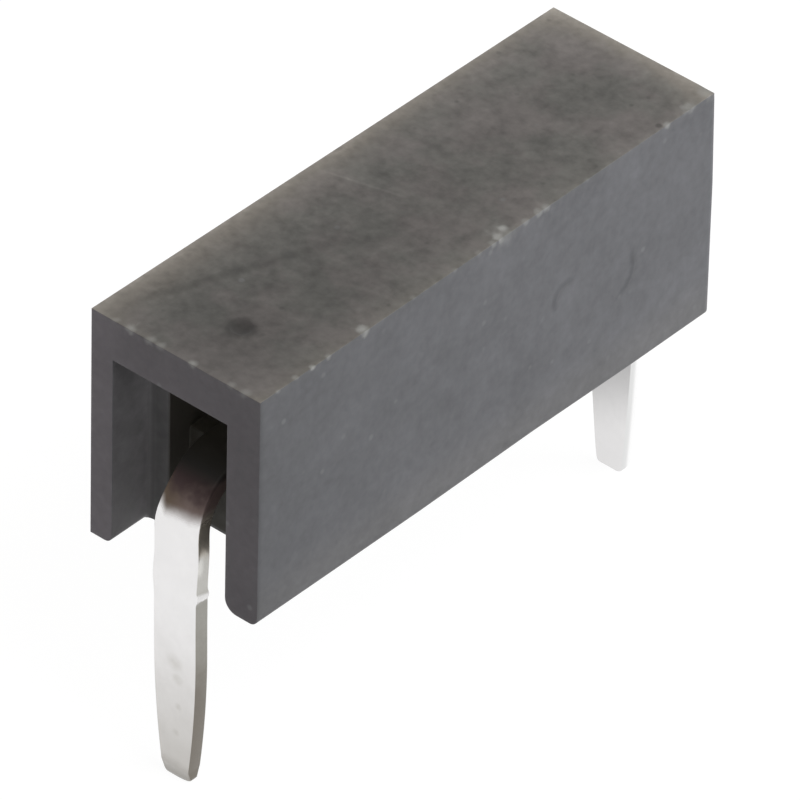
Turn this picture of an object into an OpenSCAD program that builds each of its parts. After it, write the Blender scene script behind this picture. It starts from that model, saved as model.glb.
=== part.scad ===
// Single-position right-angle socket for a square pin, soldered to a board by two legs.
// Sizes are millimetres. The housing stands on the plane z = 0, midway between its legs,
// and the legs reach below it. A pin goes in along +Y, from the front end at -Y.

/* [Housing] */
// Width of the housing at its front end
body_width = 2.54; // [2.4:0.02:3.2]
// Height of the housing above the board
body_height = 3.2; // [3:0.05:4]
// Draft of each long side towards the rear, in degrees
side_draft = 0.35; // [0:0.05:0.6]
// Thickness of the top wall
top_wall = 0.57; // [0.4:0.01:0.7]
// Radius of the lower edges of the right-hand side and of each notch's left wall
lip_radius = 0.11; // [0.05:0.01:0.2]
// Radius of the lower edge of each notch's right wall
right_lip_radius = 0.2; // [0.1:0.01:0.24]

/* [End notches] */
// Width of the notch that each leg stands in
notch_width = 1.72; // [1.56:0.02:1.8]
// Sideways shift of both notches from the middle of the housing
notch_shift = -0.08; // [-0.1:0.01:0.1]
// Depth of each notch behind its end face
notch_depth = 0.65; // [0.5:0.05:0.85]
// Radius of the upright corners at the back of each notch
notch_corner = 0.08; // [0.05:0.01:0.2]
// Distance from each end face to the edge of the floor under the contact
floor_setback = 1; // [0.95:0.05:1.3]

/* [Mould marks] */
// Radius of the broken ring that an ejector has left on the right-hand side
mark_radius = 0.65; // [0.4:0.01:0.9]
// Width of the ring's line at its foot
mark_line = 0.08; // [0.06:0.01:0.12]
// Distance that the ring stands out
mark_rise = 0.015; // [0.01:0.005:0.03]
// Distance of the ring's middle from the front end
mark_start = 5.75; // [4:0.05:6.2]
// Height of the ring's middle above the board
mark_height = 1.54; // [1.2:0.02:1.8]
// Angle that each of the ring's two arcs spans, in degrees
mark_sweep = 56; // [30:1:120]
// Slope of the line through the middles of the two arcs, in degrees
mark_tilt = -10; // [-40:1:40]
// Radius of the gate dimple in the top
gate_radius = 0.14; // [0.08:0.01:0.2]
// Depth of the gate dimple
gate_depth = 0.03; // [0.02:0.01:0.06]
// Distance of the gate dimple from the front end
gate_start = 0.88; // [0.5:0.02:1.5]
// Sideways place of the gate dimple
gate_side = 0.2; // [-0.5:0.02:0.5]

/* [Contact strip and legs] */
// Thickness of the sheet that the contact is stamped from
stock = 0.22; // [0.16:0.01:0.26]
// Width of the strip and of the legs
leg_width = 0.64; // [0.52:0.01:0.68]
// Distance between the middles of the two legs
leg_pitch = 7.62; // [7.2:0.02:10.16]
// Reach of the legs below the housing
leg_reach = 2.9; // [2.4:0.1:3.8]
// Height of the strip's upper face above the board
strip_height = 1.5; // [1.3:0.05:1.55]
// Outer radius of the bend from the strip to each leg
leg_bend = 0.85; // [0.7:0.05:0.95]
// Length of the pointed end of each leg
point_length = 1.9; // [1:0.1:2]
// Width of each leg at its tip
tip_width = 0.32; // [0.2:0.02:0.4]
// Thickness of each leg at its tip
tip_thickness = 0.1; // [0.06:0.01:0.14]
// Length of the bevels that thin each tip
tip_bevel = 0.2; // [0.1:0.02:0.4]
// Distance from the housing down to the shoulder on the edges of each leg
shoulder_start = 0.08; // [0:0.02:0.3]
// Height of the shoulder
shoulder_height = 0.24; // [0.2:0.02:0.5]
// Distance that the shoulder stands out from each edge
shoulder_step = 0.03; // [0.01:0.01:0.06]

/* [Contact spring] */
// Side of the square pin that the socket takes
pin_size = 0.64; // [0.56:0.01:0.7]
// Clearance between the pin and the contact's side walls
pin_clearance = 0.06; // [0.04:0.01:0.1]
// Clearance between the contact's side walls and the cavity
contact_clearance = 0.06; // [0.03:0.01:0.08]
// Gap between the edge of each barb and the cavity
barb_gap = 0.01; // [0.005:0.005:0.02]
// Length of each barb
barb_length = 0.4; // [0.2:0.05:0.6]
// Height of each barb
barb_height = 0.5; // [0.3:0.05:0.8]
// Length of the walled middle of the contact
box_length = 1.8; // [1.2:0.1:2.2]
// Distance from the front end to the walled middle
box_start = 4.4; // [4:0.1:4.8]
// Distance from the front end to the pinch of the springs
pinch_start = 2.1; // [1.9:0.1:2.6]
// Gap between the springs before a pin goes in
pinch_gap = 0.4; // [0.3:0.02:0.5]
// Inner radius of each spring's bend at the pinch
pinch_radius = 0.3; // [0.2:0.02:0.5]
// Height of each spring
spring_height = 0.8; // [0.6:0.05:1]
// Length of the flared lead-in of each spring
flare_length = 0.2; // [0.1:0.02:0.26]
// Angle of the flared lead-in, in degrees
flare_angle = 20; // [10:1:24]

/* [Hidden] */
$fn = 64;
// Sides of the large arcs along the legs' points
ogive_sides = 720;
// Distance that a cut runs past the surface it opens
cut_over = 0.1;

// The legs' outer faces are level with the end faces of the housing
body_length = leg_pitch + stock;
front_y = -body_length / 2;
front_half = body_width / 2;
rear_half = front_half - body_length * tan(side_draft);
side_length = body_length / cos(side_draft);

ceiling = body_height - top_wall;
floor_top = strip_height - stock;
pin_height = (strip_height + ceiling) / 2;
gate_ball = (gate_radius * gate_radius + gate_depth * gate_depth) / (2 * gate_depth);

// The side walls of the contact clear the pin, and the cavity clears the side walls
wall_inner = pin_size / 2 + pin_clearance;
wall_outer = wall_inner + stock;
fold_radius = wall_outer - leg_width / 2;
fold_top = floor_top + fold_radius;
cavity_half = wall_outer + contact_clearance;
box_y = front_y + box_start;
wall_top = pin_height + spring_height / 2;

bend_bottom = strip_height - leg_bend;
point_top = point_length - leg_reach;
point_drop = (leg_width - tip_width) / 2;
ogive_radius = (point_length * point_length + point_drop * point_drop) / (2 * point_drop);
bevel_step = (stock - tip_thickness) / 2;

// Each spring leaves its pinch bend on the tangent that meets the middle of its side wall
pinch_middle = pinch_radius + stock / 2;
pinch_x = pinch_gap / 2 + stock + pinch_radius;
pinch_y = front_y + pinch_start;
root_x = pinch_x - wall_inner - stock / 2;
root_y = box_y - pinch_y;
root_distance = sqrt(root_x * root_x + root_y * root_y);
spring_angle = atan2(root_y, root_x) - acos(pinch_middle / root_distance);
tangent_length = sqrt(root_distance * root_distance - pinch_middle * pinch_middle);
spring_length = tangent_length + stock / 2;

// Repeats a front feature at the rear end
module both_ends() {
    for (rear = [0, 1])
        mirror([0, rear, 0])
            children();
}

// Repeats a right-hand feature on the left
module both_sides() {
    for (left = [0, 1])
        mirror([left, 0, 0])
            children();
}

// Extrudes a profile drawn in width and height along +Y
module along_length(length) {
    translate([0, length, 0])
        rotate([90, 0, 0])
            linear_extrude(length)
                children();
}

// Extrudes a profile drawn in length and height across the width, about the middle
module across_width(width) {
    translate([-width / 2, 0, 0])
        rotate([90, 0, 90])
            linear_extrude(width)
                children();
}

// Places a feature at the front corner of the drafted right-hand side, facing along it
module on_right_side() {
    translate([front_half, front_y, 0])
        rotate([0, 0, side_draft])
            children();
}

// Rounds a lower edge whose wall lies on the -X side
module edge_cut(length, radius) {
    along_length(length)
        difference() {
            translate([-radius, -cut_over])
                square(radius + cut_over);
            translate([-radius, radius])
                circle(radius);
        }
}

// Housing

module housing_block() {
    linear_extrude(body_height)
        polygon([
            [-front_half, front_y],
            [front_half, front_y],
            [rear_half, -front_y],
            [-rear_half, -front_y]
        ]);
}

module cavity() {
    translate([-cavity_half, front_y - cut_over, floor_top])
        cube([2 * cavity_half, body_length + 2 * cut_over, ceiling - floor_top]);
}

module notch_plan() {
    straight_width = notch_width - 2 * notch_corner;
    translate([-notch_width / 2, -cut_over])
        square([notch_width, notch_depth - notch_corner + cut_over]);
    translate([-straight_width / 2, -cut_over])
        square([straight_width, notch_depth + cut_over]);
    both_sides()
        translate([straight_width / 2, notch_depth - notch_corner])
            circle(notch_corner);
}

// Opening that a leg stands in, with the narrower slot that its bend comes out of
module end_notch() {
    translate([notch_shift, front_y, -cut_over])
        linear_extrude(ceiling + cut_over)
            notch_plan();
    translate([-cavity_half, front_y - cut_over, -cut_over])
        cube([2 * cavity_half, floor_setback + cut_over, floor_top + 2 * cut_over]);
}

module outer_lip_cut() {
    on_right_side()
        translate([0, -cut_over, 0])
            edge_cut(side_length + 2 * cut_over, lip_radius);
}

// Rounds the lower edges of a notch, on both of its walls
module inner_lip_cuts() {
    translate([notch_shift, front_y - cut_over, 0]) {
        translate([-notch_width / 2, 0, 0])
            edge_cut(notch_depth + cut_over, lip_radius);
        translate([notch_width / 2, 0, 0])
            mirror([1, 0, 0])
                edge_cut(notch_depth + cut_over, right_lip_radius);
    }
}

// Section of the ring: a low ridge with sloping flanks, sunk into the side by its own width
module mark_section() {
    polygon([
        [-mark_line / 2, -mark_line],
        [mark_line / 2, -mark_line],
        [mark_line / 2, 0],
        [mark_line / 4, mark_rise],
        [-mark_line / 4, mark_rise],
        [-mark_line / 2, 0]
    ]);
}

// Two arcs of the ring, opposite each other
module ejector_mark() {
    on_right_side()
        translate([0, mark_start, mark_height])
            rotate([90 + mark_tilt - mark_sweep / 2, 0, 0])
                rotate([0, 90, 0])
                    for (turn = [0, 180])
                        rotate(turn)
                            rotate_extrude(angle = mark_sweep)
                                translate([mark_radius, 0])
                                    mark_section();
}

module gate_dimple() {
    translate([gate_side, front_y + gate_start, body_height + gate_ball - gate_depth])
        sphere(gate_ball);
}

module housing() {
    color([0.28, 0.28, 0.29])
        difference() {
            union() {
                housing_block();
                ejector_mark();
            }
            cavity();
            both_ends() {
                end_notch();
                inner_lip_cuts();
            }
            outer_lip_cut();
            gate_dimple();
        }
}

// Contact

module strip() {
    translate([-leg_width / 2, front_y + leg_bend, floor_top])
        cube([leg_width, body_length - 2 * leg_bend, stock]);
}

module strip_bend() {
    translate([0, front_y + leg_bend, bend_bottom])
        rotate([90, 0, 90])
            rotate([0, 0, 90])
                rotate_extrude(angle = 90)
                    translate([leg_bend - stock, -leg_width / 2])
                        square([stock, leg_width]);
}

// Outline of a leg from the front: shaft, shoulder and a point with arched edges
module leg_outline() {
    half = leg_width / 2;
    arc_offset = ogive_radius - half;
    translate([-half, point_top])
        square([leg_width, bend_bottom - point_top]);
    both_sides()
        translate([0, -shoulder_start])
            polygon([
                [0, 0],
                [half, 0],
                [half + shoulder_step, -shoulder_step],
                [half + shoulder_step, shoulder_step - shoulder_height],
                [half, -shoulder_height],
                [0, -shoulder_height]
            ]);
    intersection() {
        translate([-arc_offset, point_top])
            circle(ogive_radius, $fn = ogive_sides);
        translate([arc_offset, point_top])
            circle(ogive_radius, $fn = ogive_sides);
        translate([-half, -leg_reach])
            square([leg_width, point_length]);
    }
}

// Outline of a leg from the side: sheet with a bevelled tip
module leg_profile() {
    polygon([
        [0, bend_bottom],
        [stock, bend_bottom],
        [stock, tip_bevel - leg_reach],
        [stock - bevel_step, -leg_reach],
        [bevel_step, -leg_reach],
        [0, tip_bevel - leg_reach]
    ]);
}

module leg() {
    translate([0, front_y, 0])
        intersection() {
            along_length(stock)
                leg_outline();
            across_width(leg_width + 2 * shoulder_step)
                leg_profile();
        }
}

// Side wall folded up from the strip, with a barb that holds in the cavity
module side_wall() {
    barb_reach = contact_clearance - barb_gap;
    translate([leg_width / 2, box_y + box_length, fold_top])
        rotate([90, 0, 0])
            rotate([0, 0, 270])
                rotate_extrude(angle = 90)
                    translate([fold_radius - stock, 0])
                        square([stock, box_length]);
    translate([wall_inner, box_y, fold_top])
        cube([stock, box_length, wall_top - fold_top]);
    translate([wall_outer, box_y + (box_length - barb_length) / 2, pin_height - barb_height / 2])
        linear_extrude(barb_height)
            polygon([[-stock / 2, 0], [0, 0], [barb_reach, barb_length], [-stock / 2, barb_length]]);
}

module pinch_bend_plan() {
    outer = pinch_radius + stock;
    reach = 2 * outer;
    first = 180 - spring_angle;
    last = 180 + flare_angle;
    intersection() {
        difference() {
            circle(outer);
            circle(pinch_radius);
        }
        polygon([
            [0, 0],
            reach * [cos(first), sin(first)],
            reach * [cos(last), sin(last)]
        ]);
    }
}

// Plan of the right-hand spring: long arm, pinch bend and flared lead-in
module spring_plan() {
    intersection() {
        translate([0, front_y])
            square([wall_outer, body_length]);
        translate([pinch_x, pinch_y]) {
            rotate(180 - spring_angle)
                translate([pinch_radius, -spring_length])
                    square([stock, spring_length]);
            pinch_bend_plan();
            rotate(180 + flare_angle)
                translate([pinch_radius, 0])
                    square([stock, flare_length]);
        }
    }
}

module spring() {
    translate([0, 0, pin_height - spring_height / 2])
        linear_extrude(spring_height)
            spring_plan();
}

module contact() {
    color([0.80, 0.80, 0.79]) {
        strip();
        both_ends() {
            strip_bend();
            leg();
        }
        both_sides() {
            side_wall();
            spring();
        }
    }
}

housing();
contact();
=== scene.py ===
"""A single-position right-angle board socket: a moulded housing and a tinned spring contact."""
import math
from collections import namedtuple

import bmesh
import bpy
import numpy as np
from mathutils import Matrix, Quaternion, Vector, noise


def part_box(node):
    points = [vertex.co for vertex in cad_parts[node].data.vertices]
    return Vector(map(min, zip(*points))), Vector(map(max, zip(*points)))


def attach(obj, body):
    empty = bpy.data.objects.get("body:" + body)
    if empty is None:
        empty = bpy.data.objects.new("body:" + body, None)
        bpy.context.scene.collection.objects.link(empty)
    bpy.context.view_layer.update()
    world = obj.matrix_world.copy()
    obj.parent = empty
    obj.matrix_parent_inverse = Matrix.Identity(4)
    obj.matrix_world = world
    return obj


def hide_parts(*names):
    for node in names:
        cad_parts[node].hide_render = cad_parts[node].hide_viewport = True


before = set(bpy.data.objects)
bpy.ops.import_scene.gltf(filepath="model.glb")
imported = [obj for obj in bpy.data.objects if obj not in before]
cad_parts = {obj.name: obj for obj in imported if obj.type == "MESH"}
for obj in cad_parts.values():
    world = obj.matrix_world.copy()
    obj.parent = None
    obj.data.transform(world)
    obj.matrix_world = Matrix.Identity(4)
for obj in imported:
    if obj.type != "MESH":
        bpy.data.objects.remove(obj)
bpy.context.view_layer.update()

# Pieces are drawn in millimetres and scaled to metres when they are placed
MM = 0.001

# Overall sizes, from the solids
housing_low, housing_high = [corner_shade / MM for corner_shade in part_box("housing")]
contact_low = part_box("contact")[0] / MM
body_width = housing_high.x - housing_low.x
body_length = housing_high.y - housing_low.y
body_height = housing_high.z
leg_reach = -contact_low.z

# Housing sizes
side_draft = 0.35
# The right side bulges at the rear, and leans in above this share of its height
rear_bulge = 0.03
bulge_share = 0.6
top_wall = 0.57
notch_width = 1.72
notch_shift = -0.08
notch_depth = 0.65
notch_corner = 0.08
right_lip_radius = 0.18
left_lip_radius = 0.11
back_lip_radius = 0.02
floor_setback = 1.0
edge_round = 0.01
cut_over = 0.1

# Radius of the right lower edge, by distance from the front end
lip_starts = (0, 1.4, 2.8, 4.8, 6.5, 7.84)
lip_radii = (0.115, 0.1, 0.09, 0.12, 0.088, 0.095)

# Mould marks, with distances from the front end
ring_line = 0.09
ring_rise = 0.009
ring_sunk = 0.002
# What is left of the ejector ring: start, height and radius of each arc,
# and its middle and sweep in degrees
ring_arcs = (
    (6.125, 1.53, 0.32, -22, 120),
    (5.25, 1.74, 0.19, 135, 170),
)
# Start and height of a painted highlight beside the ring
ring_highlight_place = (5.32, 1.70)
gate_radius = 0.14
gate_depth = 0.03
gate_start = 0.88
gate_side = 0.2
# A dark nick in the top, from the front end and sideways
nick_place = (6.92, 1.163)

# Chips along the right top edge: from the front end, inset on the top, reach, depth, paleness
side_chips = (
    (0.30, 0.00, 0.05, 0.006, 0.35),
    (0.61, 0.03, 0.05, 0.006, 0.45),
    (0.89, 0.00, 0.06, 0.010, 0.80),
    (1.15, 0.01, 0.06, 0.006, 0.45),
    (1.78, 0.05, 0.10, 0.012, 0.95),
    (2.60, 0.02, 0.05, 0.006, 0.25),
    (3.30, 0.01, 0.05, 0.006, 0.25),
    (3.72, 0.02, 0.06, 0.006, 0.25),
    (3.97, 0.01, 0.08, 0.008, 0.45),
    (4.09, 0.05, 0.10, 0.012, 0.95),
    (4.17, 0.06, 0.20, 0.000, 0.30),
    (4.25, 0.11, 0.085, 0.010, 1.00),
    (4.52, 0.01, 0.07, 0.008, 0.45),
    (4.76, 0.03, 0.075, 0.008, 0.55),
    (4.88, 0.01, 0.075, 0.008, 0.55),
    (5.60, 0.00, 0.05, 0.006, 0.25),
    (7.01, 0.00, 0.07, 0.010, 0.80),
    (7.33, 0.00, 0.06, 0.006, 0.20),
    (7.42, 0.05, 0.10, 0.010, 0.65),
    (7.79, 0.09, 0.15, 0.006, 0.50),
)
# Chips along the front top edge: sideways place, reach, depth, paleness
front_chip_inset = 0.03
front_chips = (
    (-0.92, 0.06, 0.006, 0.30),
    (-0.69, 0.09, 0.010, 0.60),
    (-0.40, 0.09, 0.008, 0.45),
    (-0.24, 0.08, 0.008, 0.40),
    (0.24, 0.07, 0.010, 0.60),
    (0.82, 0.07, 0.006, 0.35),
    (1.02, 0.09, 0.008, 0.40),
)
# Chips are pressed in at half a right angle, with ragged outlines
diagonal = 0.707
chip_raggedness = 0.4
chip_grain = 18
chip_steepness = 1.5

# How finely the housing is drawn, and sliced so that chips can be pressed in
housing_stations = 29
lip_steps = 10
corner_turn = 15
ring_rows = 33
gate_rings = 8
gate_steps = 23
slice_reach = 1.2
slice_step = 0.12
slice_step_along = 0.08
slices_near_right = (1.18, 1.22, 1.245)
slices_near_top = (0.02, 0.05, 0.1)
chip_margin = 1.6
chip_slices = 9

# Contact sizes
stock = 0.22
leg_width = 0.64
strip_height = 1.5
leg_bend = 0.85
point_length = 1.9
tip_bevel = 0.2
tip_corner = 0.06
# A leg's point narrows in an arch towards one width, but not below the tip's width.
# The cuts say how far the rounded corners of the tip reach in.
Leg = namedtuple("Leg", "reach point_width arch tip_width tip_thickness left_cut right_cut")
front_leg = Leg(leg_reach, 0.36, 2.0, 0.41, 0.09, 0.03, 0.26)
rear_leg = Leg(leg_reach - 0.13, 0.39, 1.2, 0.39, 0.20, 0.03, 0.06)
# Stamping leaves small round edges, and a larger one on the right of the outer face
sheet_round = 0.02
rear_roll = 0.08
front_roll = 0.05
front_roll_heights = (-0.2, 0.05)
# Where a leg's edges stand out or in: height of the middle, half the length, and step
left_shoulder = (-0.05, 0.35, 0.022)
right_shoulder = (-0.13, 0.09, 0.022)
right_swell = (0.5, 0.6, 0.022)
left_waist = (1.15, 0.5, -0.045)
# How far each leg stands to the right, at heights from the tip to the strip
lean_heights = (-2.9, -0.6, 1.5)
front_leans = (0.052, 0.024, 0.02)
rear_leans = (0.042, -0.012, 0.0)
fold_round = 0.02
pin_size = 0.64
pin_clearance = 0.06
contact_clearance = 0.06
barb_gap = 0.01
barb_length = 0.4
barb_height = 0.5
box_length = 1.8
box_start = 4.4
pinch_start = 2.1
pinch_gap = 0.4
pinch_radius = 0.3
spring_height = 0.8
flare_length = 0.2
flare_angle = 20
# How far the foot of a folded wall lies inside the strip, so that the two join
foot_sunk = 0.002
# How finely the contact is drawn
section_steps = 6
fold_steps = 10
pinch_steps = 12
corner_stations = 8
leg_stations = 118
bend_stations = 25
last_corner_turn = 75

# Worked out from the sizes above, as in the solids
front_y = -body_length / 2
rear_y = body_length / 2
front_half = body_width / 2
draft_slope = math.tan(math.radians(side_draft))
ceiling = body_height - top_wall
floor_top = strip_height - stock
pin_height = (strip_height + ceiling) / 2
wall_inner = pin_size / 2 + pin_clearance
wall_outer = wall_inner + stock
fold_radius = wall_outer - leg_width / 2
fold_top = floor_top + fold_radius
cavity_half = wall_outer + contact_clearance
box_y = front_y + box_start
wall_top = pin_height + spring_height / 2
bend_bottom = strip_height - leg_bend
point_top = point_length - leg_reach
pinch_middle = pinch_radius + stock / 2
pinch_x = pinch_gap / 2 + stock + pinch_radius
pinch_y = front_y + pinch_start
root_x = pinch_x - wall_inner - stock / 2
root_y = box_y - pinch_y
root_distance = math.hypot(root_x, root_y)
spring_angle = math.atan2(root_y, root_x) - math.acos(pinch_middle / root_distance)
tangent_length = math.sqrt(root_distance ** 2 - pinch_middle ** 2)


# Mesh helpers

# Edges above the first angle are rounded, and above the second shaded sharp, in degrees
sharp_angle = 40
smooth_angle = 30


def arc(centre, radius, start, end, steps):
    """Points on an arc from one angle to another, in degrees."""
    angles = np.radians(np.linspace(start, end, steps + 1))
    return [(centre[0] + radius * math.cos(a), centre[1] + radius * math.sin(a)) for a in angles]


def solid(name, rings):
    """A closed mesh through rings of points, with a face over each end."""
    count = len(rings[0])
    bm = bmesh.new()
    rows = [[bm.verts.new(point) for point in ring] for ring in rings]
    for lower, upper in zip(rows, rows[1:]):
        for i in range(count):
            j = (i + 1) % count
            bm.faces.new((lower[i], lower[j], upper[j], upper[i]))
    bm.faces.new(rows[0])
    bm.faces.new(rows[-1])
    bmesh.ops.recalc_face_normals(bm, faces=bm.faces)
    mesh = bpy.data.meshes.new(name)
    bm.to_mesh(mesh)
    bm.free()
    made = bpy.data.objects.new(name, mesh)
    bpy.context.collection.objects.link(made)
    return made


def upright(name, outline, low, high):
    """A prism on an outline drawn in width and length."""
    return solid(name, [[(x, y, z) for x, y in outline] for z in (low, high)])


def lengthwise(name, outline, start, end):
    """A prism on an outline drawn in width and height."""
    return solid(name, [[(x, y, z) for x, z in outline] for y in (start, end)])


def block(name, low, high):
    """A box between two corners."""
    outline = [(low[0], low[1]), (high[0], low[1]), (high[0], high[1]), (low[0], high[1])]
    return upright(name, outline, low[2], high[2])


def combine(base, operation, others):
    """Adds one boolean step for each of the other solids."""
    for other in others:
        step = base.modifiers.new(other.name, "BOOLEAN")
        step.operation = operation
        step.solver = "EXACT"
        step.object = other


def round_edges(piece, width, segments):
    """Rounds every edge that is not already part of a curve."""
    step = piece.modifiers.new("round_edges", "BEVEL")
    step.width = width
    step.segments = segments
    step.limit_method = "ANGLE"
    step.angle_limit = math.radians(sharp_angle)
    step.use_clamp_overlap = False


def settle(piece, helpers=()):
    """Applies a piece's steps to its mesh, drops doubled faces and removes the helper solids."""
    bpy.context.view_layer.update()
    view = bpy.context.evaluated_depsgraph_get()
    mesh = bpy.data.meshes.new_from_object(piece.evaluated_get(view))
    mesh.validate()
    piece.modifiers.clear()
    piece.data = mesh
    for helper in helpers:
        bpy.data.objects.remove(helper)


def slice_faces(mesh, places_by_axis):
    """Cuts the faces along planes, so that small marks can be pressed into them."""
    bm = bmesh.new()
    bm.from_mesh(mesh)
    bmesh.ops.triangulate(bm, faces=[face for face in bm.faces if len(face.verts) > 4])
    for axis, places in enumerate(places_by_axis):
        normal = Vector((0, 0, 0))
        normal[axis] = 1
        for place in places:
            everything = bm.verts[:] + bm.edges[:] + bm.faces[:]
            bmesh.ops.bisect_plane(
                bm, geom=everything, dist=0.001, plane_co=normal * place, plane_no=normal
            )
    bm.to_mesh(mesh)
    bm.free()


def put_in_place(piece, node_name, material):
    """Scales a finished piece to metres and lets it stand for a node."""
    mesh = piece.data
    points = np.empty(len(mesh.vertices) * 3)
    mesh.vertices.foreach_get("co", points)
    mesh.vertices.foreach_set("co", points * MM)
    mesh.shade_smooth()
    mesh.set_sharp_from_angle(angle=math.radians(smooth_angle))
    mesh.materials.clear()
    mesh.materials.append(material)
    mesh.update()
    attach(piece, "root")
    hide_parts(node_name)


# Housing

def half_at(y):
    """Half the width of the housing at its top, by the draft of its long sides."""
    return front_half - (y - front_y) * draft_slope


def right_side(y):
    """Sideways place of the right side below its middle, which bulges towards the rear."""
    return half_at(y) + rear_bulge * (y - front_y) / body_length


def housing_section(y):
    """Outline of the housing across its length, with the right lower edge rounded."""
    half = half_at(y)
    wide = right_side(y)
    radius = np.interp(y - front_y, lip_starts, lip_radii)
    lip = arc((wide - radius, radius), radius, -90, 0, lip_steps)
    upper = [(wide, body_height * bulge_share), (half, body_height), (-half, body_height)]
    return [(-half, 0)] + lip + upper


def stand_back(radius, z):
    """How far a wall with a rounded lower edge stands back at a height."""
    rise = radius - min(max(z, 0), radius)
    return radius - math.sqrt(radius ** 2 - rise ** 2)


def notch_ring(end, z):
    """Outline of one end's notch at a height, wider at its foot, where its edges are rounded."""
    left = notch_shift - notch_width / 2 + notch_corner
    right = notch_shift + notch_width / 2 - notch_corner
    deep = notch_depth - notch_corner
    places = [(left, -cut_over, 180), (right, -cut_over, 0)]
    places += [(right, deep, angle) for angle in range(0, 91, corner_turn)]
    places += [(left, deep, angle) for angle in range(90, 181, corner_turn)]
    ring = []
    for x, inward, angle in places:
        out_x = math.cos(math.radians(angle))
        out_y = math.sin(math.radians(angle))
        side_radius = right_lip_radius if out_x > 0 else left_lip_radius
        x += out_x * (notch_corner + stand_back(side_radius, z))
        inward += out_y * (notch_corner + stand_back(back_lip_radius, z))
        ring.append((x, end * (body_length / 2 - inward), z))
    return ring


def end_cuts(end):
    """Cutters of one end: the notch, and the slot that the bend comes out of."""
    lip_turns = np.radians(np.linspace(0, 90, lip_steps))
    levels = [right_lip_radius * (1 - math.cos(turn)) for turn in lip_turns]
    levels = [-cut_over] + levels + [ceiling]
    inner = end * (body_length / 2 - floor_setback)
    outer = end * (body_length / 2 + cut_over)
    slot_low = (-cavity_half, min(inner, outer), -cut_over)
    slot_high = (cavity_half, max(inner, outer), floor_top + cut_over)
    return [
        solid("notch", [notch_ring(end, z) for z in levels]),
        block("slot", slot_low, slot_high),
    ]


def ejector_arcs():
    """The two arcs of a low ring that an ejector has left on the right side."""
    section = ((-0.5, -0.5), (-0.5, 0), (-0.25, 0.8), (0, 1), (0.25, 0.8), (0.5, 0), (0.5, -0.5))
    arcs = []
    for start, height, radius, middle, sweep in ring_arcs:
        rows = []
        for share in np.linspace(-1, 1, ring_rows):
            angle = math.radians(middle + share * sweep / 2)
            crest = ring_rise * (1 - share ** 4)
            row = []
            for across, rise in section:
                reach = radius + ring_line * across
                y = front_y + start + reach * math.cos(angle)
                z = height + reach * math.sin(angle)
                lift = crest * rise if rise >= 0 else ring_line * rise
                row.append((right_side(y) + lift - ring_sunk, y, z))
            rows.append(row)
        arcs.append(solid("ejector_arc", rows))
    return arcs


def gate_cut():
    """A shallow lens-shaped cutter for the gate dimple."""
    ball = (gate_radius ** 2 + gate_depth ** 2) / (2 * gate_depth)
    rings = []
    for depth in np.linspace(0.02, 1, gate_rings) * gate_depth:
        radius = math.sqrt(ball ** 2 - (ball - depth) ** 2)
        z = body_height - gate_depth + depth
        last_turn = 360 - 360 / (gate_steps + 1)
        circle = arc((gate_side, front_y + gate_start), radius, 0, last_turn, gate_steps)
        rings.append([(x, y, z) for x, y in circle])
    top = [(x, y, body_height + cut_over) for x, y, z in rings[-1]]
    return solid("gate_cut", rings + [top])


def slice_places():
    """Planes of a grid that slices the housing."""
    across = list(np.arange(-slice_reach, slice_reach, slice_step)) + list(slices_near_right)
    along = list(np.arange(front_y + slice_step_along / 2, rear_y, slice_step_along))
    upward = list(np.arange(0.1, body_height - 0.15, slice_step))
    upward += [body_height - step for step in slices_near_top]
    return across, along, upward


def chip_places():
    """Each chip's middle, reach, depth, paleness and inward direction."""
    places = []
    for start, inset, reach, depth, pale in side_chips:
        y = front_y + start
        middle = np.array((half_at(y) - inset, y, body_height))
        places.append((middle, reach, depth, pale, np.array((-diagonal, 0, -diagonal))))
    for side, reach, depth, pale in front_chips:
        middle = np.array((side, front_y + front_chip_inset, body_height))
        places.append((middle, reach, depth, pale, np.array((0, diagonal, -diagonal))))
    return places


def refine_chips(mesh):
    """Slices the faces round each chip finely."""
    bm = bmesh.new()
    bm.from_mesh(mesh)
    for middle, reach, depth, pale, inward in chip_places():
        near = []
        for face in bm.faces:
            apart = (face.calc_center_median() - Vector(middle)).length
            if apart < reach * chip_margin:
                near.append(face)
        for axis in range(3):
            normal = Vector((0, 0, 0))
            normal[axis] = 1
            for place in middle[axis] + reach * np.linspace(-1, 1, chip_slices):
                edges = list({edge for face in near for edge in face.edges})
                points = list({point for face in near for point in face.verts})
                cut = bmesh.ops.bisect_plane(
                    bm, geom=points + edges + near, dist=0.0005, plane_co=normal * place, plane_no=normal
                )
                near = [part for part in cut["geom"] if isinstance(part, bmesh.types.BMFace)]
    bm.to_mesh(mesh)
    bm.free()


def wear_edges(mesh):
    """Presses chips into the top edges, and marks how pale they are for the material."""
    count = len(mesh.vertices)
    points = np.empty(count * 3)
    mesh.vertices.foreach_get("co", points)
    points = points.reshape(-1, 3)
    chipped = np.zeros(count)
    moved = points.copy()
    for middle, reach, depth, pale, inward in chip_places():
        apart = np.linalg.norm(points - middle, axis=1) / reach
        for i in np.nonzero(apart < 1)[0]:
            ragged = apart[i] * (1 + chip_raggedness * noise.noise(Vector(points[i] * chip_grain)))
            press = max(1 - ragged ** 2, 0) ** chip_steepness
            moved[i] += inward * depth * press
            chipped[i] = max(chipped[i], press * pale)
    mesh.vertices.foreach_set("co", moved.ravel())
    chip = mesh.attributes.new("chip", "FLOAT", "POINT")
    chip.data.foreach_set("value", chipped)


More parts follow.
